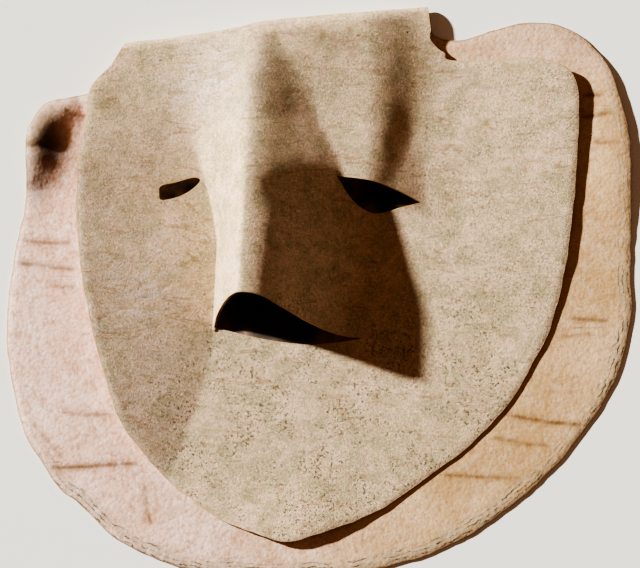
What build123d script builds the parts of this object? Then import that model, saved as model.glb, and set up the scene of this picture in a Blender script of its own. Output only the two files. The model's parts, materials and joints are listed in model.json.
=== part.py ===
from build123d import *
import math
import os

# A face mask cut from one hide of soft leather, shaped like an hourglass and folded over at its waist.
# It lies closed and flat: the neck flap is underneath, with its grain side up, and the face panel is
# folded over it, with its flesh side up. The fold at the crown is a living hinge across the waist. Its
# back half stays with the neck flap and its front half swings with the face panel, about the fold's
# outermost line.
# Millimetres. X runs across the face, Y up towards the crown, Z away from the surface it lies on.
# The origin is the centre of the underside of the whole mask.

# Driving dimensions
HIDE = 1.0  # thickness of the leather
FOLD_LENGTH = 115.5  # width of the waist that folds
FOLD_TILT = 7.0  # degrees that the fold runs uphill to the right
FOLD_EDGE = (-16.0, 101.5)  # middle of the fold's outermost line
FOLD_RADIUS = 3.5  # of the middle of the hide where it folds
PLAY = 0.15  # half the gap between the two halves of the fold
REST_GAP = 0.4  # least air between the neck flap and the face panel
NOSE_HEIGHT = 29.0  # reached by the ridge of the nose above the cheeks
NOSE_RISE = 35.0  # distance from the fold in which the ridge does most of its rising
NOSE_FOOT = 43.0  # width of the nose's gentle side
BROW_HEIGHT = 7.5  # bulge over the wearer's left eye
CHEEK_SLOPE = 0.28  # at which the wearer's right cheek rises to its rim
SLIT_SIZE = (16.0, 3.2)  # eye slit in the wearer's right cheek

# Outlines as the leather was cut. Each run is a smooth curve through a few points.
FLAP_RIM = [(45, 95.5), (61, 98), (82, 103), (102, 95.5), (114.3, 72), (117.6, 44), (117, 3), (113, -29),
            (89, -66), (54, -94), (20, -106), (-15, -108.5), (-53, -105), (-75, -95.5), (-97, -76),
            (-111, -54), (-117.5, -20), (-116.5, 3), (-111.3, 32), (-111.3, 57), (-104, 71), (-88, 75),
            (-78, 84)]
FACE_RIM = [(44.5, 94), (52, 89.5), (70, 87.5), (88, 86.5), (96.5, 79), (97.5, 62), (96, 40), (91, 2),
            (80, -27), (54, -61), (20, -85), (-12, -95.5), (-38, -86.5), (-67, -61), (-80, -33),
            (-89, 2), (-91.5, 30), (-90, 58), (-85, 75), (-78, 84)]
MOUTH_TOP = [(-39.5, -15.2), (-35.5, -9), (-29, -6), (-19, -8), (-6, -14), (15.5, -19.4)]
MOUTH_LIP = [(15.5, -19.4), (6, -21.3), (-12, -21.5), (-39.5, -15.2)]
LID_TOP = [(6, 41.4), (22, 39.4), (38.5, 32.5)]
LID_UNDER = [(38.5, 32.5), (20, 28.5), (6, 41.4)]
SLIT_MIDDLE = (-53.0, 38.5)
SLIT_TILT = 20.0

# Lines on the face panel that its shape follows
NOSE_TIP = (-29.5, -6.0)
NOSE_LEAN = 0.045  # how far the ridge leans across for each millimetre up the face
NOSE_ROUND = 4.0  # rounding of the ridge, and of the crease beside the cheek
VALLEY_PEAK = (-37.5, 8.0)  # where the crease between nose and cheek comes nearest the middle
VALLEY_BEND = {"above": 0.0047, "below": 0.0029}
BROW_LINE = 22.0
BROW_SPREAD = 10.5
LEAST_FALL = 6.0  # least distance in which the raised leather drops to the level beyond an opening

# Places on the closed mask that follow from those
TILT = math.radians(FOLD_TILT)
ALONG = Vector(math.cos(TILT), math.sin(TILT))
OUT = Vector(-math.sin(TILT), math.cos(TILT))
FOLD_OUTSIDE = FOLD_RADIUS + HIDE / 2
FOLD_MIDDLE = Vector(*FOLD_EDGE) - OUT * FOLD_OUTSIDE
FOLD_FRAME = Plane(origin=FOLD_MIDDLE + Vector(0, 0, FOLD_OUTSIDE), x_dir=OUT, z_dir=ALONG)
FOLD_TOP = FOLD_OUTSIDE + FOLD_RADIUS
FACE_REST = HIDE + REST_GAP + HIDE / 2
QUARTER = 90.0  # degrees round the fold that each half takes
FOLD_CLEAR = math.degrees(PLAY / FOLD_OUTSIDE)
SHEET_PITCH = 4.5  # spacing of the points that carry the face panel's shape
SHEET_REACH = {"left": -104.0, "right": 108.0, "near": -108.0, "far": 112.0}
TALL = 60.0  # higher than anything that is cut


def smooth(low, high, value):
    """From 0 at low to 1 at high, level at both ends."""
    share = min(1.0, max(0.0, (value - low) / (high - low)))
    return share * share * (3 - 2 * share)


def height_of_line(points, x):
    """Y at x of straight runs through the points."""
    ordered = sorted(points)
    for (x0, y0), (x1, y1) in zip(ordered, ordered[1:]):
        if x <= x1:
            return y0 + (y1 - y0) * max(0.0, (x - x0) / (x1 - x0))
    return ordered[-1][1]


def below_fold(x, y):
    """Distance down the face from the line where the fold ends."""
    return (FOLD_MIDDLE - Vector(x, y)).dot(OUT)


def valley(y):
    """X of the crease between the nose and the wearer's right cheek."""
    bend = VALLEY_BEND["above" if y > VALLEY_PEAK[1] else "below"]
    return VALLEY_PEAK[0] - bend * (y - VALLEY_PEAK[1]) ** 2


def held_up(top, under, x, y):
    """1 above an opening and 0 below it, falling inside it."""
    high = height_of_line(top, x)
    low = min(height_of_line(under, x), high - LEAST_FALL)
    return smooth(low, high, y)


def nose(x, y):
    """Height of the nose: a ridge with a steep side to the left and a gentle one to the right."""
    ridge = NOSE_TIP[0] + NOSE_LEAN * (y - NOSE_TIP[1])
    away = math.hypot(x - ridge, NOSE_ROUND) - NOSE_ROUND
    steep_side = max(7.0, ridge - valley(y) - 2.5)
    if x < ridge:
        share = max(0.0, 1 - away / steep_side) ** 1.2
    else:
        share = max(0.0, 1 - away / NOSE_FOOT) ** 1.7
    rise = 1 - math.exp(-max(0.0, below_fold(x, y)) / NOSE_RISE)
    return NOSE_HEIGHT * share * rise * held_up(MOUTH_TOP, MOUTH_LIP, x, y)


def brow(x, y):
    """Height of the bulge that runs from the fold down to the lid over the wearer's left eye."""
    share = math.exp(-(((x - BROW_LINE) / BROW_SPREAD) ** 2))
    return BROW_HEIGHT * share * smooth(0, 18, below_fold(x, y)) * held_up(LID_TOP, LID_UNDER, x, y)


def cheek(x, y):
    """Rise of the wearer's right cheek from the crease to the rim."""
    away = max(0.0, valley(y) - x)
    rise = CHEEK_SLOPE * (math.hypot(away, NOSE_ROUND) - NOSE_ROUND)
    return rise * smooth(0, 45, below_fold(x, y))


def face_height(x, y):
    """Z of the middle of the hide anywhere on the face panel."""
    settled = smooth(0, 70, below_fold(x, y))
    level = FOLD_TOP + (FACE_REST - FOLD_TOP) * settled
    lifted_corner = 2.0 * smooth(60, 100, x) * smooth(20, 80, y)
    return level + lifted_corner + nose(x, y) + brow(x, y) + cheek(x, y)


def fold_end(side):
    """End of the line where a panel meets the fold, side being 1 for the right and -1 for the left."""
    place = FOLD_MIDDLE + ALONG * (side * FOLD_LENGTH / 2)
    return (place.X, place.Y)


def lobe(rim):
    """One lobe of the hourglass: a straight waist at the fold and a hand-cut rim round the rest."""
    right, left = fold_end(1), fold_end(-1)
    return make_face(Wire([Line(right, rim[0]), Spline(*rim), Line(rim[-1], left), Line(left, right)]))


def prism(flat):
    return extrude(flat, TALL, dir=(0, 0, 1))


def openings():
    """Mouth under the nose, the eye under the lid, and the eye slit."""
    mouth = make_face(Wire([Spline(*MOUTH_TOP), Spline(*MOUTH_LIP)]))
    eye = make_face(Wire([Spline(*LID_TOP), Spline(*LID_UNDER)]))
    slit = Pos(*SLIT_MIDDLE) * Rot(0, 0, SLIT_TILT) * SlotOverall(*SLIT_SIZE)
    return [prism(mouth), prism(eye), prism(slit)]


def face_section(y):
    """Across the face panel at one distance up the face: a closed ribbon as thick as the hide."""
    left, right = SHEET_REACH["left"], SHEET_REACH["right"]
    count = round((right - left) / SHEET_PITCH)
    upper, lower = [], []
    for i in range(count + 1):
        x = left + (right - left) * i / count
        slope = face_height(x + 0.5, y) - face_height(x - 0.5, y)
        half = Vector(-slope, 0, 1).normalized() * (HIDE / 2)
        middle = Vector(x, y, face_height(x, y))
        upper.append(middle + half)
        lower.append(middle - half)
    ends = Line(upper[-1], lower[-1]), Line(lower[0], upper[0])
    return Wire([Spline(*upper), ends[0], Spline(*reversed(lower)), ends[1]])


def face_sheet():
    """The face panel's shape as a solid sheet, wider than its outline."""
    near, far = SHEET_REACH["near"], SHEET_REACH["far"]
    count = round((far - near) / SHEET_PITCH)
    sections = [face_section(near + (far - near) * i / count) for i in range(count + 1)]
    return Solid.make_loft(sections, ruled=True)


def face_panel():
    """The front lobe, which covers the face."""
    return face_sheet() & (prism(lobe(FACE_RIM)) - openings())


def neck_flap():
    """The rear lobe, which covers the back of the neck and lies flat."""
    return extrude(lobe(FLAP_RIM), HIDE, dir=(0, 0, 1))


def fold_half(first, last):
    """A quarter turn of the hide round the fold, from one angle to another above the fold's middle plane."""
    inside, outside = FOLD_RADIUS - HIDE / 2, FOLD_OUTSIDE

    def at(radius, angle):
        turn = math.radians(angle)
        return (radius * math.cos(turn), radius * math.sin(turn))

    middle = (first + last) / 2
    outer = ThreePointArc(at(outside, first), at(outside, middle), at(outside, last))
    inner = ThreePointArc(at(inside, last), at(inside, middle), at(inside, first))
    ends = Line(at(outside, last), at(inside, last)), Line(at(inside, first), at(outside, first))
    section = make_face(Wire([outer, ends[0], inner, ends[1]]))
    return extrude(FOLD_FRAME * section, FOLD_LENGTH / 2, both=True)


def crown_fold_back():
    """The half of the fold under its middle plane."""
    return fold_half(-QUARTER, -FOLD_CLEAR)


def crown_fold_front():
    """The half of the fold over its middle plane."""
    return fold_half(FOLD_CLEAR, QUARTER)


def write(build):
    solid = build()
    solid.label = build.__name__
    export_step(solid, os.path.join("parts", build.__name__ + ".step"))


os.makedirs("parts", exist_ok=True)
for sub_part in (neck_flap, crown_fold_back, crown_fold_front, face_panel):
    write(sub_part)
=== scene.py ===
"""A leather face mask with a neck flap, cut from one hide and folded at the crown, lying closed on a table.

The hide is three pieces here, which meet edge to edge: the neck flap, the fold and the face panel. Each is
the hide's middle surface given its thickness. Lengths are in millimetres, in the frame's own axes, until a
mesh is made. "Left" and "right" are as seen from above with the crown at the top.
"""
import json
import math

import bpy
import numpy as np
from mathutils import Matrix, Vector
from mathutils.geometry import delaunay_2d_cdt
from mathutils.kdtree import KDTree


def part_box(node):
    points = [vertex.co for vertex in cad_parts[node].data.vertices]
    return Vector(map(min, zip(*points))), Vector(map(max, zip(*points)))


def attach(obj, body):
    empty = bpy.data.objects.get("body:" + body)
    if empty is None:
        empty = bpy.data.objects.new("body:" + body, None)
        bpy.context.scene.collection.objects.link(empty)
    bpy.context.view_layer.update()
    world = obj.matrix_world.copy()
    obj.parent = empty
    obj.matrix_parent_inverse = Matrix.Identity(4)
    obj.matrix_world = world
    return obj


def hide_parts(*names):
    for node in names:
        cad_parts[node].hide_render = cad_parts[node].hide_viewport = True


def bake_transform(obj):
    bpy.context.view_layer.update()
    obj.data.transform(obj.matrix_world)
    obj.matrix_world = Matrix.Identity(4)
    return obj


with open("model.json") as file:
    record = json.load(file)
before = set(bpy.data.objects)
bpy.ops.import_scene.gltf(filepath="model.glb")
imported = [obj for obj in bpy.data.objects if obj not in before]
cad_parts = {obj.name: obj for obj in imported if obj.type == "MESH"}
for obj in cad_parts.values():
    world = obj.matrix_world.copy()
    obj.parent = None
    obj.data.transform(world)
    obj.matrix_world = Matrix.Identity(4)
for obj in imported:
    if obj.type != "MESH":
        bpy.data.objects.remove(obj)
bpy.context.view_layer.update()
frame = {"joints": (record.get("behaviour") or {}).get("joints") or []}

MM = 0.001

# -------------------------------------------------------------------------------------------------------
# The hide's measures
# -------------------------------------------------------------------------------------------------------

# The fold, from its joint: the hinge is the fold's outermost line, as high as the fold's outer radius.
FOLD_JOINT = frame["joints"][0]
HINGE = np.array(FOLD_JOINT["pos_m"]) / MM
ALONG = -np.array(FOLD_JOINT["axis"])[:2]
OUT = np.array([-ALONG[1], ALONG[0]])
HIDE = (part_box("neck_flap")[1].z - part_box("neck_flap")[0].z) / MM
FOLD_OUTSIDE = HINGE[2]
FOLD_RADIUS = FOLD_OUTSIDE - HIDE / 2
FOLD_MIDDLE = HINGE[:2] - OUT * FOLD_OUTSIDE
FOLD_RIGHT = 57.5
FOLD_LEFT = -57.75
FOLD_SPREAD = 0.76  # how fast the fold's left edge runs outwards on its way to the face panel
FLAP_SPREAD = 0.65  # and on its way to the neck flap
FOLD_COLUMNS = 119  # points along each line where a lobe meets the fold
FOLD_ROWS = 31  # points round the fold
FOLD_BULGE = 1.5  # how far the fold bows out between its middle and its right end
FOLD_TAPER = 0.58  # how much lower the fold is pressed at its right end
FOLD_FULL = (0.16, 0.12)  # how much fuller it is over the nose, and over the brow
LOBE_START = -5.0  # where the lobes' meshes start, out over the crown from the fold's middle line
FACE_REST = HIDE + HIDE / 2 + 0.08  # Z of the panel's middle where it lies on the flap
SKIVE = 0.35  # share of its thickness that the hide loses at its cut rim
SKIVE_WIDTH = 1.8  # of the strip that thins

# Spacing of the meshes' points
RIM_SPACING = 0.85
FLAP_SPACING = 1.25
FACE_SPACING = 1.2
MOUTH_SPACING = 0.5
EYE_SPACING = 0.8
SLIT_SPACING = 0.6
CREASE_SPACING = 1.0
NOSE_CORNERS = ((-44, -24), (-24, 66))  # the nose's steep side needs points twice as close

# Outlines of the cut hide, clockwise from the right end of the fold.
FLAP_RIM = [(43.2, 98), (45.8, 96.6), (49.5, 95.9), (54, 96.2), (61, 98), (72, 101.5), (82, 103),
            (92, 101.5), (102, 95.5), (108.7, 87.5), (114.3, 72), (117, 60), (117.7, 44), (117.5, 25),
            (117, 3), (117.4, -8), (113, -29), (107.2, -41), (101, -51), (89, -66), (77.5, -77.5),
            (65.5, -86.5), (54, -94), (38.8, -101), (20, -106), (-15, -108.5), (-40, -107), (-53, -105),
            (-67, -99.5), (-75, -95.5), (-82.8, -88.7), (-90, -81.5), (-97, -76), (-104, -66),
            (-111, -54), (-114.5, -40), (-117.3, -24), (-117.6, -9.5), (-116.5, 3), (-114.6, 17),
            (-111.3, 32), (-111, 40), (-111.3, 54), (-110.4, 61), (-106.5, 68), (-103, 71.3),
            (-95, 73.5), (-88.5, 75.2), (-83.5, 78.5)]
FACE_RIM = [(41.8, 96.1), (42.8, 94.4), (45.6, 91.6), (47.7, 90.2), (47.8, 88.6), (50.5, 87.6),
            (58.9, 87.4), (69.9, 87.8), (81.3, 88.5), (89.3, 86.6), (94.6, 83.6), (97.3, 79),
            (98.2, 74.5), (98.2, 66.9), (96.7, 40.3), (95, 25), (91.4, 2.3), (85.1, -19.4),
            (81.3, -26.2), (73, -41), (66.5, -49), (54.3, -61.2), (43.3, -69.2), (31.2, -78.3),
            (19.4, -85.5), (0, -93), (-12.9, -96), (-26, -92.3), (-38, -87), (-48, -79.8), (-57, -72.6),
            (-67.3, -61.2), (-75, -50.5), (-80.9, -32.7), (-86, -13.3), (-89, 2.3), (-91, 20.9),
            (-91.5, 32.7), (-91, 48), (-88.5, 63), (-87.5, 73.5), (-85.5, 78)]
MOUTH_TOP = [(-39.5, -15.2), (-38.2, -11), (-34.5, -7.2), (-29, -6.3), (-22, -7.2), (-16, -10),
             (-6, -14.7), (4, -18), (15.5, -19.4)]
MOUTH_LIP = [(15.5, -19.4), (6, -20.8), (-5, -21.6), (-20, -19.8), (-39.5, -15.2)]
LID_TOP = [(6, 41.4), (14, 40.6), (22, 39.2), (30, 36.4), (38.5, 32.6)]
LID_UNDER = [(38.5, 32.6), (30, 30.5), (20, 28.6), (12.5, 32.5), (6, 41.4)]
SLIT = [(-60.8, 35.2), (-60.5, 38.2), (-54.5, 40.2), (-47, 42.2), (-45.2, 41.3), (-47.2, 38.6),
        (-53.5, 34.6), (-60.4, 33.3)]

# The face panel's relief. A profile's points give a height or a width at a distance down from the fold.
NOSE_TIP = (-29.5, -6.0)
NOSE_LEAN = 0.045  # how far the ridge leans across for each millimetre up the face
NOSE_RIDGE = [(0, 0), (4, 2.2), (10, 5.2), (17, 8.4), (24, 10.6), (30, 12.2), (36, 14.2), (41, 16.6),
              (47, 19.6), (53, 22.3), (59, 24.4), (75, 27.0), (100, 28.0), (130, 28.4)]
NOSE_FOOT = [(0, 4), (4, 5.5), (10, 11.3), (17, 17.5), (24, 24.5), (30, 28.5), (36, 31), (41, 33.5),
             (47, 37.5), (53, 42), (59, 45), (65, 44), (75, 38), (100, 31), (130, 31)]
NOSE_ROUND = (4.0, 23.0)  # rounding of the ridge at its top, and of its gentle side at its tip
VALLEY_PEAK = (-37.5, 8.0)  # where the crease beside the nose comes nearest the middle
VALLEY_BEND = (0.0047, 0.0029)  # above the peak, and below it
BROW_LINE = 16.8  # X where the brow starts to fall away
BROW_RIDGE = [(0, 0), (6, 0.8), (17, 1.8), (28, 3.2), (40, 5.1), (51, 6.9), (63, 8.2), (75, 8.6)]
BROW_REACH = 21.5  # distance in which the brow falls to the level of the panel
BROW_TILT = 0.05  # slope between the nose and the brow line
CHEEK_SLOPE = 0.2

# The flap's buckled upper left corner: the line of its crest, its height, and its width inside and outside
EAR_CREST = [(-108.5, 38), (-108.6, 48), (-107.4, 57.5), (-103.6, 64.5), (-98, 68.4), (-91, 70.6)]
EAR_HEIGHT = 4.4
EAR_WIDTH = (7.0, 14.0)
EAR_MIDDLE = np.array([-92.0, 50.0])
EAR_PINCH = (53.5, 2.2)  # Y of the dent in the crest, and its width

# Creases in the neck flap, each a line with how deep it is
FLAP_CREASES = [
    ([(-114.0, 18.6), (-103, 17.4), (-93, 17.5)], 0.8),
    ([(-115.4, 9.8), (-104, 8.6), (-91, 7.0)], 0.8),
    ([(-103, 0.8), (-90.5, 0.6)], 0.5),
    ([(-97, -47.2), (-86, -48.2), (-76.5, -48)], 0.6),
    ([(-102, -68.2), (-86, -67.6), (-68, -66.4)], 1.0),
    ([(-65.4, -73), (-65, -82), (-62.5, -91)], 0.9),
    ([(-108.5, -50), (-103, -57), (-95, -66)], 0.5),
    ([(99, 74.3), (104, 74.6), (109, 74.2)], 0.9),
    ([(98.5, 66), (106, 66.6), (113, 68.3)], 1.0),
    ([(103, 56.2), (109, 56), (115, 56.4)], 0.7),
    ([(103, 18), (114, 17.6)], 0.3),
    ([(93, -11.2), (101, -12), (110, -12.4)], 0.8),
    ([(88.5, -18.6), (96, -18), (104, -17.2)], 0.5),
    ([(69, -48), (84, -50.6), (99, -52)], 1.0),
    ([(64, -56.6), (76, -58.8), (87, -60)], 0.7),
    ([(45, -70.6), (60, -71.6), (76, -72)], 0.8),
    ([(-98, 69), (-93, 66.6), (-87, 66.2)], 0.8),
    ([(-110.8, 53.6), (-106, 55), (-101.5, 53.4)], 0.9),
    ([(-110, 39.8), (-106.5, 41.5), (-104, 44)], 0.6),
]
# Wrinkles in the face panel
FACE_CREASES = [
    ([(-84, -14), (-72, -8), (-58, 0), (-50, 6)], 0.5),
    ([(-87, 0), (-76, 2), (-62, -3)], 0.4),
    ([(-88, 10.5), (-80, 12), (-70, 9)], 0.4),
    ([(42, 46), (58, 44), (74, 46.5), (90, 41)], 0.35),
    ([(42, 10), (56, 8.4), (72, 10), (90, 7)], 0.45),
    ([(46, -1), (62, -3.4), (78, -2)], 0.35),
    ([(86, 60), (85.5, 40), (83.5, 20)], 0.3),
]

# -------------------------------------------------------------------------------------------------------
# Small tools
# -------------------------------------------------------------------------------------------------------


def smooth(low, high, value):
    share = np.clip((value - low) / (high - low), 0, 1)
    return share * share * (3 - 2 * share)


def waves(x, y, size, seed):
    """A smooth random value from -1 to 1 with features of that size."""
    count = 97
    table = np.random.default_rng(seed).uniform(-1, 1, (count, count))
    across, up = np.asarray(x) / size + 300, np.asarray(y) / size + 300
    i, j = np.floor(across).astype(int), np.floor(up).astype(int)
    s, t = smooth(0, 1, across - i), smooth(0, 1, up - j)
    i0, i1, j0, j1 = i % count, (i + 1) % count, j % count, (j + 1) % count
    lower = table[i0, j0] * (1 - s) + table[i1, j0] * s
    upper = table[i0, j1] * (1 - s) + table[i1, j1] * s
    return lower * (1 - t) + upper * t


def curve(points, spacing, closed=False):
    """Evenly spaced points on a smooth line through the given ones."""
    p = np.array(points, float)
    if closed:
        p = np.vstack([p[-1], p, p[0], p[1]])
    else:
        p = np.vstack([2 * p[0] - p[1], p, 2 * p[-1] - p[-2]])
    t = np.concatenate([[0], np.cumsum(np.sqrt(np.linalg.norm(np.diff(p, axis=0), axis=1)))])
    fine = []
    for i in range(1, len(p) - 2):
        t0, t1, t2, t3 = t[i - 1:i + 3]
        s = np.linspace(t1, t2, 24, endpoint=False)[:, None]
        a1 = (t1 - s) / (t1 - t0) * p[i - 1] + (s - t0) / (t1 - t0) * p[i]
        a2 = (t2 - s) / (t2 - t1) * p[i] + (s - t1) / (t2 - t1) * p[i + 1]
        a3 = (t3 - s) / (t3 - t2) * p[i + 1] + (s - t2) / (t3 - t2) * p[i + 2]
        b1 = (t2 - s) / (t2 - t0) * a1 + (s - t0) / (t2 - t0) * a2
        b2 = (t3 - s) / (t3 - t1) * a2 + (s - t1) / (t3 - t1) * a3
        fine.append((t2 - s) / (t2 - t1) * b1 + (s - t1) / (t2 - t1) * b2)
    line = np.vstack(fine + [p[-2][None]])
    length = np.concatenate([[0], np.cumsum(np.linalg.norm(np.diff(line, axis=0), axis=1))])
    at = np.linspace(0, length[-1], max(2, round(length[-1] / spacing) + 1))
    return np.stack([np.interp(at, length, line[:, k]) for k in range(2)], axis=1)


def inside(points, loop):
    """Which points lie in a closed loop."""
    x, y = points[:, 0], points[:, 1]
    result = np.zeros(len(points), bool)
    for (x0, y0), (x1, y1) in zip(loop, np.roll(loop, -1, axis=0)):
        crosses = (y0 > y) != (y1 > y)
        if crosses.any():
            result ^= crosses & (x < (x1 - x0) * (y - y0) / (y1 - y0) + x0)
    return result


def nearest(points, targets):
    """Each point's distance to the nearest target, and which one that is."""
    tree = KDTree(len(targets))
    for i, p in enumerate(targets):
        tree.insert((p[0], p[1], 0), i)
    tree.balance()
    found = [tree.find((p[0], p[1], 0)) for p in points]
    return np.array([f[2] for f in found]), np.array([f[1] for f in found])


def triangulate(rim, holes, lines, spacing, fine=None):
    """Points and triangles that fill a loop, leave out its holes and follow its crease lines. Inside the
    fine rectangle, given by two corners, the points are twice as close."""
    loops = [rim, *holes]
    low, high = rim.min(0), rim.max(0)
    rows = np.arange(low[1], high[1], spacing * math.sqrt(3) / 2)
    grid = np.array([(x + (spacing / 2 if i % 2 else 0), y)
                     for i, y in enumerate(rows) for x in np.arange(low[0], high[0], spacing)])
    keep = inside(grid, rim)
    for hole in holes:
        keep &= ~inside(grid, hole)
    grid = grid[keep]
    if fine:
        low, high = np.array(fine)
        near = ((grid > low) & (grid < high)).all(1)
        extra = np.concatenate([grid[near] + (spacing / 2, 0), grid[near] + (spacing / 4, spacing * 0.433),
                                grid[near] + (-spacing / 4, spacing * 0.433)])
        extra = extra[inside(extra, rim)]
        for hole in holes:
            extra = extra[~inside(extra, hole)]
        grid = np.concatenate([grid, extra])
    away = nearest(grid, np.vstack([*loops, *lines]))[0]
    grid = grid[away > 0.6 * (spacing if not fine else 0.5 * spacing)]
    points = np.vstack([*loops, *lines, grid])
    edges, start = [], 0
    for loop in loops:
        edges += [(start + i, start + (i + 1) % len(loop)) for i in range(len(loop))]
        start += len(loop)
    for line in lines:
        edges += [(start + i, start + i + 1) for i in range(len(line) - 1)]
        start += len(line)
    made = delaunay_2d_cdt([Vector(p) for p in points], edges, [], 0, 1e-6)
    flat = np.array([tuple(p) for p in made[0]])
    faces = np.array([f for f in made[2] if len(f) == 3])
    a, b, c = (flat[faces[:, k]] for k in range(3))
    area = (b[:, 0] - a[:, 0]) * (c[:, 1] - a[:, 1]) - (b[:, 1] - a[:, 1]) * (c[:, 0] - a[:, 0])
    faces[area < 0] = faces[area < 0][:, ::-1]
    middle = (a + b + c) / 3
    keep = inside(middle, rim) & (np.abs(area) > 1e-6)
    for hole in holes:
        keep &= ~inside(middle, hole)
    faces = faces[keep]
    used, faces = np.unique(faces, return_inverse=True)
    return flat[used], faces.reshape(-1, 3)


# -------------------------------------------------------------------------------------------------------
# The hide's middle surface
# -------------------------------------------------------------------------------------------------------


def fold_place(u, v):
    """The plan position u along the fold and v out over the crown from its middle line."""
    return FOLD_MIDDLE + np.outer(u, ALONG) + np.outer(v, OUT)


def out_over_crown(x, y):
    return (x - FOLD_MIDDLE[0]) * OUT[0] + (y - FOLD_MIDDLE[1]) * OUT[1]


def along_fold(x, y):
    return (x - FOLD_MIDDLE[0]) * ALONG[0] + (y - FOLD_MIDDLE[1]) * ALONG[1]


def fold_share(u):
    """The fold's height as a share of the usual one. It is fuller over the nose and the brow, and pressed
    flat towards its right end."""
    nose_part, brow_part = FOLD_FULL
    nose_part = nose_part * np.exp(-(((u + 12) / 14) ** 2))
    brow_part = brow_part * smooth(-2, 22, u)
    return 1 + nose_part + brow_part - (FOLD_TAPER + brow_part) * smooth(31, 56, u)


def fold_top(u):
    """Z of the hide's middle where the fold ends and the face panel begins."""
    return HIDE / 2 + 2 * FOLD_RADIUS * fold_share(u)


def line_at(points, x):
    p = np.array(sorted(points), float)
    return np.interp(x, p[:, 0], p[:, 1])


def profile(points, down):
    """A smooth line through a profile's points."""
    at, height = np.array(points, float).T
    slope = np.gradient(height, at)
    slope[0] = slope[1]
    k = np.clip(np.searchsorted(at, down) - 1, 0, len(at) - 2)
    width = at[k + 1] - at[k]
    t = np.clip((down - at[k]) / width, 0, 1)
    return ((1 + 2 * t) * (1 - t) ** 2 * height[k] + t * (1 - t) ** 2 * width * slope[k]
            + t * t * (3 - 2 * t) * height[k + 1] + t * t * (t - 1) * width * slope[k + 1])


def soft_max(a, b, blur):
    """The greater of two heights, with the corner between them rounded."""
    return (a + b + np.sqrt((a - b) ** 2 + blur ** 2)) / 2 - blur / 2


def held_up(top, under, least_fall, x, y):
    """1 above an opening's upper edge and 0 below its lower one."""
    high = line_at(top, x)
    low = np.minimum(line_at(under, x), high - least_fall)
    return smooth(low, high, y)


def valley(y):
    """The line where the left cheek turns up."""
    bend = np.where(y > VALLEY_PEAK[1], *VALLEY_BEND)
    return VALLEY_PEAK[0] - bend * (y - VALLEY_PEAK[1]) ** 2


def nose(x, y):
    ridge = NOSE_TIP[0] + NOSE_LEAN * (y - NOSE_TIP[1])
    down = np.maximum(0, 1.75 - out_over_crown(x, y))
    height = profile(NOSE_RIDGE, down)
    low = smooth(62, 90, down)
    rounding = np.where(x < ridge, NOSE_ROUND[0], NOSE_ROUND[0] + (NOSE_ROUND[1] - NOSE_ROUND[0]) * low)
    away = np.hypot(x - ridge, rounding) - rounding
    steep_side = np.maximum(7.0, ridge - valley(y) - 2.5)
    steep = np.maximum(0, 1 - away / steep_side) ** (1.9 - 0.7 * smooth(20, 60, down))
    foot = profile(NOSE_FOOT, down)
    gentle = np.maximum(0, 1 - away / foot) ** (1 + 0.5 * low)
    return height * np.where(x < ridge, steep, gentle) * held_up(MOUTH_TOP, MOUTH_LIP, 2.5, x, y)


def brow(x, y):
    """The hide is held up between the nose and the brow line, and falls away to the right of it."""
    down = -out_over_crown(x, y)
    height = profile(BROW_RIDGE, down)
    fall = height / BROW_REACH * (np.hypot(np.maximum(0, x - BROW_LINE), 2.5) - 2.5)
    height = height + BROW_TILT * np.maximum(0, BROW_LINE - x) * smooth(0, 10, down) * smooth(55, 30, down)
    return soft_max(height - fall, 0, 1.2) * smooth(-34, -28, x) * held_up(LID_TOP, LID_UNDER, 9.0, x, y)


def cheek(x, y):
    away = np.maximum(0, valley(y) - x)
    rounding = 1.2 + 14 * smooth(5, 60, y)
    return CHEEK_SLOPE * (np.hypot(away, rounding) - rounding) * smooth(0, 45, -out_over_crown(x, y))


def lifted_rim(x, y):
    """The panel's right side, upper right corner and chin stand a little off the flap."""
    side = 1.0 * smooth(50, 95, x) * smooth(-25, 20, y)
    corner = 1.2 * smooth(60, 100, x) * smooth(30, 75, y)
    chin = 2.0 * np.exp(-(((x + 6) / 26) ** 2)) * smooth(-62, -95, y)
    return side + corner + chin


def face_height(x, y):
    v = out_over_crown(x, y)
    share = fold_share(along_fold(x, y))
    top = fold_top(along_fold(x, y))
    level = top + (FACE_REST - top) * smooth(0, 1, -v / (70 - 30 * smooth(20, 45, x)))
    roll = share * (FOLD_RADIUS - np.sqrt(np.maximum(0, FOLD_RADIUS ** 2 - np.maximum(0, v) ** 2)))
    buckle = (0.12 * waves(x, y, 13, 1) + 0.05 * waves(x, y, 5.5, 2)) * (0.6 + 0.6 * smooth(-40, 20, x))
    relief = soft_max(nose(x, y), brow(x, y), 0.8)
    return level - roll + lifted_rim(x, y) + relief + cheek(x, y) + buckle * smooth(0, 20, -v)


def ear(x, y):
    """The flap's upper left corner is buckled up behind its rim."""
    points = np.stack([x, y], axis=1)
    line = curve(EAR_CREST, 0.1)
    away, which = nearest(points, line)
    crest = np.sin(np.pi * which / (len(line) - 1)) ** 0.8
    reach = np.linalg.norm(line[which] - EAR_MIDDLE, axis=1)
    width = np.where(np.linalg.norm(points - EAR_MIDDLE, axis=1) < reach, *EAR_WIDTH)
    pinch = 1 - 0.22 * np.exp(-(((y - EAR_PINCH[0]) / EAR_PINCH[1]) ** 2))
    return EAR_HEIGHT * crest * pinch * np.exp(-((away / width) ** 2))


def flap_height(x, y):
    near_fold = smooth(6, 20, -out_over_crown(x, y))
    buckle = 0.12 * (1 + waves(x, y, 26, 3)) + 0.06 * (1 + waves(x, y, 9, 4))
    outside = smooth(98, 114, x) * smooth(10, 45, y) * smooth(100, 80, y)
    under_panel = smooth(96, 112, np.hypot(x + 2, (y - 4) * 1.02)) * smooth(40, 0, x)
    return HIDE / 2 + near_fold * (buckle * under_panel + 1.1 * outside + ear(x, y))


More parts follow.
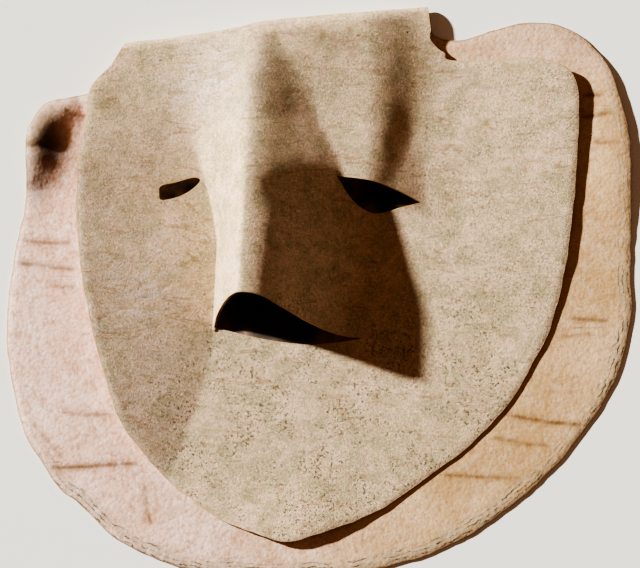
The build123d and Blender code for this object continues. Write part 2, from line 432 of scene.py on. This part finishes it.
def normals_of(height, flat):
    """Unit normals of a height function's surface."""
    step = 0.05
    x, y = flat[:, 0], flat[:, 1]
    dx = (height(x + step, y) - height(x - step, y)) / (2 * step)
    dy = (height(x, y + step) - height(x, y - step)) / (2 * step)
    normals = np.stack([-dx, -dy, np.ones_like(dx)], axis=1)
    return normals / np.linalg.norm(normals, axis=1)[:, None]


# -------------------------------------------------------------------------------------------------------
# Materials
# -------------------------------------------------------------------------------------------------------


def colour(red, green, blue):
    """A colour given as it is seen, from 0 to 255, as the linear one that a shader takes."""
    seen = np.array([red, green, blue]) / 255
    linear = np.where(seen <= 0.04045, seen / 12.92, ((seen + 0.055) / 1.055) ** 2.4)
    return (*linear, 1.0)


class Finish:
    """A material built node by node. Places are the piece's rest places in millimetres."""

    def __init__(self, name):
        self.material = bpy.data.materials.new(name)
        self.material.use_nodes = True
        self.tree = self.material.node_tree
        self.shader = self.tree.nodes["Principled BSDF"]
        self.place = self.attribute("rest_place", "Vector")

    def node(self, kind, inputs, output=0, **settings):
        made = self.tree.nodes.new(kind)
        for key, value in settings.items():
            setattr(made, key, value)
        for key, value in inputs.items():
            if isinstance(value, bpy.types.NodeSocket):
                self.tree.links.new(value, made.inputs[key])
            else:
                made.inputs[key].default_value = value
        return made.outputs[output]

    def attribute(self, name, output="Fac"):
        return self.node("ShaderNodeAttribute", {}, output, attribute_name=name)

    def math(self, operation, a, b=0.0, c=0.0):
        return self.node("ShaderNodeMath", {0: a, 1: b, 2: c}, operation=operation)

    def span(self, value, low, high, start=0.0, end=1.0):
        """The value moved from low..high to start..end, smoothly."""
        inputs = {"Value": value, "From Min": low, "From Max": high, "To Min": start, "To Max": end}
        return self.node("ShaderNodeMapRange", inputs, interpolation_type="SMOOTHSTEP")

    def noise(self, size, detail=2.0, roughness=0.55, distortion=0.0, stretch=None, offset=0.0, turn=0.0):
        """Noise with features of that size, longer along each axis by stretch."""
        place = self.place
        if stretch or offset:
            moved = {"Vector": place, "Location": (offset, offset, offset), "Rotation": (0, 0, turn),
                     "Scale": stretch or (1, 1, 1)}
            place = self.node("ShaderNodeMapping", moved, vector_type="TEXTURE")
        return self.node("ShaderNodeTexNoise", {"Vector": place, "Scale": 1 / size, "Detail": detail,
                                                "Roughness": roughness, "Distortion": distortion})

    def cells(self, size, feature="F1", output="Distance", randomness=1.0):
        return self.node("ShaderNodeTexVoronoi", {"Vector": self.place, "Scale": 1 / size,
                                                  "Randomness": randomness}, output, feature=feature)

    def mix(self, factor, a, b, blend="MIX"):
        return self.node("ShaderNodeMix", {0: factor, 6: a, 7: b}, 2, data_type="RGBA", blend_type=blend)

    def bump(self, height, depth, strength=1.0, under=None):
        inputs = {"Height": height, "Distance": depth * MM, "Strength": strength}
        if under:
            inputs["Normal"] = under
        return self.node("ShaderNodeBump", inputs)

    def crease_line(self, width, strength):
        """How much of a crease's dark line shows: full on the line and nothing past the width."""
        away = self.math("ABSOLUTE", self.attribute("crease_side"))
        line = self.span(away, width, 0.0)
        return self.math("MULTIPLY", self.math("MULTIPLY", line, self.attribute("crease_force")), strength)

    def finish(self, base, roughness, normal, **uniform):
        links = self.tree.links
        links.new(base, self.shader.inputs["Base Color"])
        if isinstance(roughness, bpy.types.NodeSocket):
            links.new(roughness, self.shader.inputs["Roughness"])
        else:
            self.shader.inputs["Roughness"].default_value = roughness
        links.new(normal, self.shader.inputs["Normal"])
        for key, value in uniform.items():
            self.shader.inputs[key.replace("_", " ")].default_value = value
        return self.material


def suede_finish():
    """The flesh side: a short, uneven nap, speckled, mottled and stained by wear, with painted shade
    between the nose and the brow and painted sheen on the left cheek.
    """
    f = Finish("suede")
    broad = f.span(f.noise(22, 3), 0.36, 0.64)
    base = f.mix(broad, colour(232, 206, 176), colour(214, 192, 156))
    green = f.span(f.noise(8, 3, 0.6, offset=40), 0.43, 0.62, 0, 0.75)
    base = f.mix(green, base, colour(180, 170, 134))
    pink = f.span(f.noise(5.5, 3, 0.6, offset=90), 0.5, 0.68, 0, 0.5)
    base = f.mix(pink, base, colour(228, 188, 166))
    # Painted sheen: whitish streaks on the left cheek, and painted highlight at the top of the nose's left
    # flank.
    sheen_streaks = f.span(f.noise(3.0, 4, 0.6, 0.7, stretch=(5, 0.9, 1), turn=0.3), 0.42, 0.62, 0.1, 1)
    pale = f.math("MULTIPLY", f.attribute("pale"), sheen_streaks)
    base = f.mix(pale, base, colour(236, 218, 210))
    nap = f.noise(0.8, 4, 0.8, 0.5)
    base = f.mix(f.span(nap, 0.42, 0.66, 0, 0.55), base, colour(146, 126, 94))
    smudge = f.span(f.noise(2.6, 4, 0.7, offset=63), 0.46, 0.66, 0, 0.42)
    base = f.mix(smudge, base, colour(160, 140, 108))
    light = f.span(f.noise(0.9, 3, 0.7, offset=31), 0.5, 0.68, 0, 0.55)
    base = f.mix(light, base, colour(250, 230, 198))
    patchy = f.span(f.noise(11, 4, 0.65, offset=7), 0.4, 0.6, 0.1, 1)
    dense = f.math("MULTIPLY", patchy, f.attribute("wear"))
    speck = f.span(f.noise(0.95, 2, 0.6, offset=15), 0.54, 0.64)
    base = f.mix(f.math("MULTIPLY", speck, dense), base, colour(86, 78, 56))
    streak = f.span(f.noise(7, 4, 0.6, 2.2, stretch=(2.2, 0.6, 1), offset=55), 0.54, 0.68, 0, 0.45)
    base = f.mix(streak, base, colour(150, 116, 76))
    # Dark marks: real stains at the crown and the upper left, and painted shade between the nose and the
    # brow, in the buckled corner and under the openings.
    stain_and_shade = f.attribute("stain_and_shade")
    blotchy = f.span(f.noise(3.0, 3, 0.6, offset=70), 0.3, 0.62, 0.55, 1)
    base = f.mix(f.math("MULTIPLY", stain_and_shade, blotchy), base, colour(96, 80, 46))
    line = f.crease_line(0.9, 0.5)
    base = f.mix(line, base, colour(136, 98, 62))
    edge = f.span(f.attribute("rim"), 0.9, 0.1, 0, 0.4)
    base = f.mix(edge, base, colour(200, 172, 134))
    normal = f.bump(f.noise(2.4, 3, 0.6, offset=3), 0.25, 0.5)
    normal = f.bump(nap, 0.34, 0.8, normal)
    normal = f.bump(f.noise(0.36, 2, 0.6), 0.12, 0.8, normal)
    return f.finish(base, 0.95, normal, Sheen_Weight=0.25, Sheen_Roughness=0.5,
                    Sheen_Tint=colour(240, 215, 185), Specular_IOR_Level=0.2)


def grain_finish():
    """The smooth side: fine pebbled grain, cross creases, a cracked, greyed band along the cut edge,
    painted glints and painted shade.
    """
    f = Finish("grain")
    # The flap's tone from left to right: partly its own, paler and pinker to the left and more tan to the
    # right, partly painted light, as the left is painted paler where the light is brighter and the buckled
    # corner darker where it lies in shade.
    broad = f.span(f.noise(30, 3, offset=11), 0.35, 0.65)
    left = f.mix(broad, colour(252, 220, 202), colour(242, 204, 182))
    right = f.mix(broad, colour(220, 190, 148), colour(198, 166, 118))
    base = f.mix(f.attribute("side"), left, right)
    cloud = f.span(f.noise(5, 3, offset=5), 0.46, 0.72, 0, 0.4)
    base = f.mix(cloud, base, colour(204, 160, 118))
    # Painted highlight: whitish glints, strongest on the flap's left.
    pale = f.span(f.noise(3.0, 4, 0.65, offset=60), 0.5, 0.68, 0, 0.5)
    base = f.mix(f.math("MULTIPLY", pale, f.span(f.attribute("side"), 0.9, 0.1, 0.3, 1)), base,
                 colour(255, 246, 240))
    pebble = f.cells(1.25, "SMOOTH_F1")
    base = f.mix(f.span(pebble, 0.42, 0.72, 0, 0.34), base, colour(170, 120, 90))
    pores = f.span(f.noise(0.9, 2, 0.6, offset=44), 0.58, 0.7, 0, 0.4)
    base = f.mix(pores, base, colour(140, 92, 62))
    base = f.mix(f.crease_line(3.2, 0.6), base, colour(152, 114, 60))
    base = f.mix(f.crease_line(1.3, 0.75), base, colour(104, 74, 38))
    # Painted shade: the hollow of the buckled corner and the flap under the panel's openings are painted
    # near black.
    base = f.mix(f.math("MULTIPLY", f.attribute("stain_and_shade"), 0.97), base, colour(30, 22, 14))
    rim, worn = f.attribute("rim"), f.attribute("wear")
    wander = f.noise(9, 4, 0.6, offset=21)
    wavy = f.math("ADD", rim, f.math("MULTIPLY", wander, 5.0))
    rings = f.math("ABSOLUTE", f.math("SINE", f.math("MULTIPLY", wavy, 1.9)))
    broken = f.span(f.noise(4.5, 5, 0.8, offset=77), 0.42, 0.58)
    cracks = f.math("MULTIPLY", f.span(rings, 0.7, 0.1), broken)
    band = f.math("MULTIPLY", worn, f.span(f.noise(2.6, 3, 0.65, offset=33), 0.34, 0.52))
    base = f.mix(f.math("MULTIPLY", band, 0.6), base, colour(182, 168, 142))
    base = f.mix(f.math("MULTIPLY", f.math("MULTIPLY", cracks, worn), 0.95), base, colour(58, 50, 36))
    edge = f.span(rim, 0.7, 0.1, 0, 0.6)
    base = f.mix(edge, base, colour(140, 112, 82))
    normal = f.bump(f.noise(6, 3, 0.6, offset=9), 0.6, 0.5)
    normal = f.bump(pebble, -0.13, 0.8, normal)
    normal = f.bump(f.math("MULTIPLY", cracks, worn), -0.06, 0.6, normal)
    normal = f.bump(f.noise(0.5, 3, 0.7), 0.09, 0.9, normal)
    rough = f.span(f.noise(2.2, 3, 0.6, offset=70), 0.35, 0.7, 0.46, 0.24)
    rough = f.math("MAXIMUM", rough, f.attribute("stain_and_shade"))
    return f.finish(base, rough, normal, Specular_IOR_Level=0.6, Coat_Weight=0.06, Coat_Roughness=0.25)


def cut_finish():
    """The cut edge: pale, packed fibres, darker where it was handled."""
    f = Finish("cut_edge")
    fibres = f.noise(0.5, 3, 0.7, stretch=(1, 1, 0.33))
    base = f.mix(f.span(f.noise(6, 2), 0.4, 0.62), colour(176, 146, 108), colour(146, 112, 76))
    base = f.mix(f.span(fibres, 0.45, 0.65, 0, 0.5), base, colour(124, 90, 58))
    normal = f.bump(fibres, 0.2, 0.8)
    return f.finish(base, 0.9, normal, Specular_IOR_Level=0.2)


# -------------------------------------------------------------------------------------------------------
# Making a piece
# -------------------------------------------------------------------------------------------------------


def hide_piece(name, middle, normals, faces, facts, materials, joins, thickness=None):
    """A closed mesh around the middle surface, with the cut edge bulging slightly. Where joins says so, the
    edge meets the next piece, so it stays flat."""
    count = len(middle)
    half = (np.full(count, HIDE) if thickness is None else thickness)[:, None] / 2
    edges = np.concatenate([faces[:, [0, 1]], faces[:, [1, 2]], faces[:, [2, 0]]])
    code = edges.min(1) * count + edges.max(1)
    _, first, seen = np.unique(code, return_index=True, return_counts=True)
    border = edges[first[seen == 1]]
    outward = np.zeros((count, 3))
    for end in (0, 1):
        np.add.at(outward, border[:, end], np.cross(middle[border[:, 1]] - middle[border[:, 0]],
                                                    normals[border[:, end]]))
    at = np.unique(border)
    outward[at] /= np.linalg.norm(outward[at], axis=1)[:, None]
    outward[joins] = 0
    rounds = [(0.55, 0.13), (-0.55, 0.13)]
    rings = [middle[at] + normals[at] * half[at] * up + outward[at] * out for up, out in rounds]
    vertices = np.vstack([middle + normals * half, middle - normals * half, *rings])
    ring_of = np.zeros(count, int)
    ring_of[at] = np.arange(len(at))
    a, b = border[:, 0], border[:, 1]
    levels = [(a, b)] + [(2 * count + k * len(at) + ring_of[a], 2 * count + k * len(at) + ring_of[b])
                         for k in range(len(rounds))] + [(a + count, b + count)]
    sides = np.concatenate([np.stack([upper[1], upper[0], lower[0], lower[1]], axis=1)
                            for upper, lower in zip(levels, levels[1:])])
    mesh = bpy.data.meshes.new(name)
    mesh.from_pydata((vertices * MM).tolist(), [], faces.tolist() + (faces[:, ::-1] + count).tolist()
                     + sides.tolist())
    index = np.repeat([0, 1, 2], [len(faces), len(faces), len(sides)]).astype(np.int32)
    for material in materials:
        mesh.materials.append(material)
    mesh.polygons.foreach_set("material_index", index)
    mesh.polygons.foreach_set("use_smooth", np.ones(len(index), bool))
    source = np.concatenate([np.arange(count), np.arange(count), *[at] * len(rounds)])
    for key, value in facts.items():
        made = mesh.attributes.new(key, "FLOAT", "POINT")
        made.data.foreach_set("value", value[source].astype(np.float32))
    rest = mesh.attributes.new("rest_place", "FLOAT_VECTOR", "POINT")
    rest.data.foreach_set("vector", vertices.astype(np.float32).ravel())
    corner = np.zeros(len(vertices), bool)
    corner[at] = corner[at + count] = True
    ends = np.zeros(len(mesh.edges) * 2, np.int32)
    mesh.edges.foreach_get("vertices", ends)
    ends = ends.reshape(-1, 2)
    on_border = np.isin(ends.min(1) % count * count + ends.max(1) % count,
                        border.min(1) * count + border.max(1))
    sharp = corner[ends[:, 0]] & corner[ends[:, 1]] & on_border & (ends.max(1) < 2 * count)
    sharp_edge = mesh.attributes.new("sharp_edge", "BOOLEAN", "EDGE")
    sharp_edge.data.foreach_set("value", sharp)
    mesh.validate()
    mesh.update()
    piece = bpy.data.objects.new(name, mesh)
    bpy.context.collection.objects.link(piece)
    return piece


def crease_facts(flat, creases):
    """How far each point is from the nearest crease, its side as the sign, and how strong the crease is."""
    side, force = np.full(len(flat), 9.0), np.zeros(len(flat))
    for points, depth in creases:
        line = curve(points, 0.5)
        away, which = nearest(flat, line)
        ahead = np.roll(line, -1, axis=0)
        ahead[-1] = 2 * line[-1] - line[-2]
        run = ahead[which] - line[which]
        off = flat - line[which]
        left = run[:, 0] * off[:, 1] - run[:, 1] * off[:, 0]
        here = away < np.abs(side)
        side[here] = (away * np.sign(left))[here]
        ends = smooth(0, 6, np.minimum(which, len(line) - 1 - which))
        patchy = 0.7 + 0.3 * waves(flat[:, 0], flat[:, 1], 3, 8)
        force[here] = (depth * ends * patchy * smooth(4, 2.6, away))[here]
    return side, force


def blot(x, y, middle, size):
    return np.exp(-(((x - middle[0]) / size[0]) ** 2) - ((y - middle[1]) / size[1]) ** 2)


def lobe_rim(points, left_spread, jitter, seed):
    """A lobe's closed outline: its cut rim, then the straight line where it meets the fold."""
    start, end = fold_place([FOLD_RIGHT, fold_left(LOBE_START, left_spread)], [LOBE_START] * 2)
    cut = curve([start, *points, end], RIM_SPACING)
    ramp = np.minimum(np.arange(len(cut)), np.arange(len(cut))[::-1])
    wander = smooth(0, 6, ramp) * jitter
    moves = [waves(cut[:, 0], cut[:, 1], 4, seed + k) for k in range(2)]
    cut = cut + wander[:, None] * np.stack(moves, axis=1)
    joint = fold_place(*fold_row(LOBE_START, left_spread))
    return np.vstack([cut, joint[1:-1]])


def fold_left(v, spread):
    return FOLD_LEFT - spread * (FOLD_OUTSIDE - v)


def fold_row(v, spread):
    return np.linspace(fold_left(v, spread), FOLD_RIGHT, FOLD_COLUMNS), np.full(FOLD_COLUMNS, v)


def on_join(flat):
    """Which points lie on the line where a lobe meets the fold."""
    v = out_over_crown(flat[:, 0], flat[:, 1])
    return np.abs(v - LOBE_START) < 1e-3


def skived(flat, edge):
    """The hide's thickness, which thins at its cut rim."""
    away = smooth(-2, -6, out_over_crown(flat[:, 0], flat[:, 1]) - LOBE_START)
    return HIDE * (1 - SKIVE * smooth(SKIVE_WIDTH, 0, edge) * away)


def make_flap(finishes):
    rim = lobe_rim(FLAP_RIM, FLAP_SPREAD, 0.3, 20)
    lines = [curve(points, CREASE_SPACING) for points, depth in FLAP_CREASES]
    lines = [line[inside(line, rim)] for line in lines]
    flat, faces = triangulate(rim, [], lines, FLAP_SPACING)
    x, y = flat[:, 0], flat[:, 1]
    side, force = crease_facts(flat, FLAP_CREASES)
    height = flap_height(x, y) - 0.4 * force * np.exp(-((side / 0.8) ** 2))
    cut_rim = rim[:len(rim) - FOLD_COLUMNS + 2]
    edge = nearest(flat, cut_rim)[0]
    thickness = skived(flat, edge)
    middle = np.stack([x, y, np.maximum(height, HIDE / 2) - (HIDE - thickness) / 2], axis=1)
    right, low = smooth(90, 108, x), smooth(-45, -80, y)
    worn = np.maximum(smooth(70, 100, x), low) * smooth(6.2, 3.2, edge + 1.2 * waves(x, y, 8, 61))
    # The side fact gives the flap's tone from left to right: partly its own tone, partly painted light, as
    # the left is painted paler where the light is brighter and the buckled corner darker where it lies in
    # shade.
    facts = {"rim": np.minimum(edge, 20), "crease_side": side, "crease_force": force,
             "wear": worn * (0.45 + 0.55 * np.maximum(right * smooth(25, -10, y), low)),
             "stain_and_shade": flap_painted_shade(x, y), "pale": np.zeros(len(x)),
             "side": np.maximum(smooth(-70, 50, x) * (1 - 0.4 * smooth(62, 92, y)),
                                0.8 * blot(x, y, (-107, 60), (12, 14)))}
    piece = hide_piece("neck_flap_leather", middle, normals_of(flap_height, flat), faces, facts,
                       [finishes["grain"], finishes["suede"], finishes["cut"]], on_join(flat), thickness)
    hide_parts("neck_flap")
    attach(piece, "neck")
    return piece


def flap_painted_shade(x, y):
    """Painted shade: the hollow behind the buckled corner and the hide that lies under each opening are
    painted dark, where shade falls.
    """
    hollow = 0.95 * blot(x, y, (-102.5, 55), (8.5, 13)) + 0.4 * blot(x, y, (-107, 38), (5, 7))
    ragged = 1 + 0.25 * waves(x, y, 9, 51) + 0.1 * waves(x, y, 3.5, 52)
    mouth = 1.5 * blot(x, y, (-16, -10), (34, 21))
    eye = 1.4 * blot(x, y, (20, 36), (24, 14))
    slit = 1.4 * blot(x, y, (-54, 38), (16, 10))
    return np.minimum(1, hollow + smooth(0.2, 1.3, (mouth + eye + slit) * ragged))


def make_panel(finishes):
    rim = lobe_rim(FACE_RIM, FOLD_SPREAD, 0.22, 30)
    mouth = np.vstack([curve(MOUTH_TOP, MOUTH_SPACING)[:-1], curve(MOUTH_LIP, MOUTH_SPACING)[:-1]])
    eye = np.vstack([curve(LID_TOP, EYE_SPACING)[:-1], curve(LID_UNDER, EYE_SPACING)[:-1]])
    slit = curve(SLIT, SLIT_SPACING, closed=True)[:-1]
    lines = [curve(points, CREASE_SPACING) for points, depth in FACE_CREASES]
    flat, faces = triangulate(rim, [mouth, eye, slit], lines, FACE_SPACING, fine=NOSE_CORNERS)
    x, y = flat[:, 0], flat[:, 1]
    side, force = crease_facts(flat, FACE_CREASES)
    outer_rim = rim[:len(rim) - FOLD_COLUMNS + 2]
    edge = nearest(flat, np.vstack([outer_rim, mouth, eye, slit]))[0]
    thickness = skived(flat, nearest(flat, outer_rim)[0])
    height = face_height(x, y) - 0.25 * force * np.exp(-((side / 0.9) ** 2))
    middle = np.stack([x, y, height - (HIDE - thickness) / 2], axis=1)
    facts = {"rim": np.minimum(edge, 20), "crease_side": side, "crease_force": force,
             "stain_and_shade": face_stain_and_shade(x, y), "pale": face_painted_sheen(x, y), "side": smooth(-60, 60, x),
             "wear": face_wear(x, y)}
    piece = hide_piece("face_panel_suede", middle, normals_of(face_height, flat), faces, facts,
                       [finishes["suede"], finishes["grain"], finishes["cut"]], on_join(flat), thickness)
    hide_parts("face_panel")
    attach(piece, "face")
    return piece


def face_stain_and_shade(x, y):
    """Darkened by hands at the crown and at the upper left; the blots between the nose and the brow and on
    the brow's falling side are painted shade.
    """
    return np.clip(0.5 * blot(x, y, (2, 95), (11, 3.4)) + 0.35 * blot(x, y, (-80, 72), (6, 7))
                   + 0.32 * blot(x, y, (-5, 86), (17, 13)) + 0.2 * blot(x, y, (32, 88), (12, 14)), 0, 1)


def face_wear(x, y):
    """How densely the nap is speckled: most on the chin and the right cheek."""
    return 0.35 + 0.5 * smooth(10, -40, y) * smooth(-75, -45, x) + 0.15 * smooth(30, 60, x)


def face_painted_sheen(x, y):
    """Painted sheen and highlight: whitish streaks and a paler wash on the left cheek, and a paler top to
    the nose's left flank, where the light strikes it.
    """
    return np.clip(0.3 * smooth(-40, -60, x) * smooth(75, 50, y) + 0.6 * blot(x, y, (-66, -2), (17, 13))
                   + 0.9 * blot(x, y, (-42, 80), (17, 16)), 0, 1)


def fold_surface(u_share, s):
    """The fold's middle surface. s runs from the flap's side at -1 over the outermost line at 0 to the
    panel's side at 1, and u_share from its left end at 0 to its right end at 1."""
    leg = -LOBE_START
    arc = math.pi / 2 * FOLD_RADIUS
    run = s * (leg + arc)
    turn = np.clip(run / FOLD_RADIUS, -math.pi / 2, math.pi / 2)
    v = FOLD_RADIUS * np.cos(turn) - np.maximum(0, np.abs(run) - arc)
    spread = np.where(s > 0, FOLD_SPREAD, FLAP_SPREAD)
    left = FOLD_LEFT - spread * (FOLD_OUTSIDE - v)
    u = left + (FOLD_RIGHT - left) * u_share
    wobble = 0.3 * waves(u, u * 0, 11, 41) + FOLD_BULGE * smooth(-28, -2, u) * smooth(FOLD_RIGHT, 5, u)
    wobble = wobble + 0.35 * smooth(-14, -8, u) - 0.3 * smooth(-8, -14, u)
    place = FOLD_MIDDLE + u[:, None] * ALONG + (v + wobble * np.cos(turn) ** 2)[:, None] * OUT
    share = fold_share(u)
    lower = HIDE / 2 + share * FOLD_RADIUS * (1 + np.sin(turn))
    upper = face_height(*(FOLD_MIDDLE + u[:, None] * ALONG + v[:, None] * OUT).T)
    return np.column_stack([place, np.where(s > 0, upper, lower)])


def make_fold(finishes):
    share, s = np.meshgrid(np.linspace(0, 1, FOLD_COLUMNS), np.linspace(-1, 1, FOLD_ROWS))
    share, s = share.ravel(), s.ravel()
    middle = fold_surface(share, s)
    step = 1e-3
    across = fold_surface(share + step, s) - fold_surface(share - step, s)
    over = fold_surface(share, s + step) - fold_surface(share, s - step)
    normals = np.cross(over, across)
    normals /= np.linalg.norm(normals, axis=1)[:, None]
    corner = np.arange(FOLD_ROWS * FOLD_COLUMNS).reshape(FOLD_ROWS, FOLD_COLUMNS)
    a, b, c, d = (k.ravel() for k in (corner[:-1, :-1], corner[:-1, 1:], corner[1:, 1:], corner[1:, :-1]))
    faces = np.concatenate([np.stack([a, c, b], axis=1), np.stack([a, d, c], axis=1)])
    edge = np.minimum(share, 1 - share) * (FOLD_RIGHT - FOLD_LEFT)
    x, y = middle[:, 0], middle[:, 1]
    nothing = np.zeros(len(x))
    facts = {"rim": np.minimum(edge, 20), "crease_side": nothing + 9, "crease_force": nothing,
             "stain_and_shade": face_stain_and_shade(x, y) * (s > 0), "pale": face_painted_sheen(x, y), "side": smooth(-60, 60, x),
             "wear": face_wear(x, y)}
    piece = hide_piece("crown_fold_leather", middle, normals, faces, facts,
                       [finishes["suede"], finishes["grain"], finishes["cut"]], np.abs(s) > 1 - 1e-6)
    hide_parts("crown_fold_back", "crown_fold_front")
    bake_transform(piece)
    return piece


# -------------------------------------------------------------------------------------------------------
# The stage, the light and the camera
# -------------------------------------------------------------------------------------------------------

KEY_RISE = 21  # degrees above the table
KEY_RUN = (0.913, -0.41)  # the way the key light runs in plan
KEY_ENERGY = 7.6
KEY_SPREAD = 2.5  # degrees
FILL_STRENGTH = 0.125
EXPOSURE = 0.28
PICTURE_WIDTH = 0.241  # how much of the table the picture shows from side to side, in metres
CAMERA_RISE = 80  # degrees above the table
CAMERA_DISTANCE = 1.5  # metres


def make_stage():
    size = 3.0
    corners = [(-size, -size, 0), (size, -size, 0), (size, size, 0), (-size, size, 0)]
    mesh = bpy.data.meshes.new("table")
    mesh.from_pydata(corners, [], [(0, 1, 2, 3)])
    table = bpy.data.objects.new("table", mesh)
    bpy.context.collection.objects.link(table)
    table.location.z = -0.0001
    material = bpy.data.materials.new("pale_table")
    material.use_nodes = True
    shader = material.node_tree.nodes["Principled BSDF"]
    shader.inputs["Base Color"].default_value = colour(251, 254, 248)
    shader.inputs["Roughness"].default_value = 0.7
    mesh.materials.append(material)


def make_light():
    """A low key light from the upper left, which shows the relief, and a soft warm fill."""
    key = bpy.data.objects.new("key", bpy.data.lights.new("key", "SUN"))
    bpy.context.collection.objects.link(key)
    rise = math.radians(KEY_RISE)
    toward = Vector((KEY_RUN[0] * math.cos(rise), KEY_RUN[1] * math.cos(rise), -math.sin(rise)))
    key.rotation_euler = toward.to_track_quat("-Z", "Y").to_euler()
    key.data.energy = KEY_ENERGY
    key.data.angle = math.radians(KEY_SPREAD)
    key.data.color = (1.0, 0.985, 0.95)
    world = bpy.data.worlds.new("fill")
    world.use_nodes = True
    background = world.node_tree.nodes["Background"]
    background.inputs["Color"].default_value = (1.0, 0.52, 0.32, 1)
    background.inputs["Strength"].default_value = FILL_STRENGTH
    bpy.context.scene.world = world


def make_camera():
    camera = bpy.data.objects.new("camera", bpy.data.cameras.new("camera"))
    bpy.context.collection.objects.link(camera)
    rise = math.radians(CAMERA_RISE)
    aim = Vector((0, 1.3 * MM, 3 * MM))
    camera.location = aim + CAMERA_DISTANCE * Vector((0, -math.cos(rise), math.sin(rise)))
    camera.rotation_euler = (aim - camera.location).to_track_quat("-Z", "Y").to_euler()
    camera.data.sensor_width = 36
    camera.data.lens = camera.data.sensor_width * CAMERA_DISTANCE / PICTURE_WIDTH
    bpy.context.scene.camera = camera
    settings = bpy.context.scene.view_settings
    settings.view_transform = "AgX"
    settings.look = "AgX - High Contrast"
    settings.exposure = EXPOSURE


make_camera()
make_light()
make_stage()
finishes = {"suede": suede_finish(), "grain": grain_finish(), "cut": cut_finish()}
flap = make_flap(finishes)
panel = make_panel(finishes)
fold = make_fold(finishes)
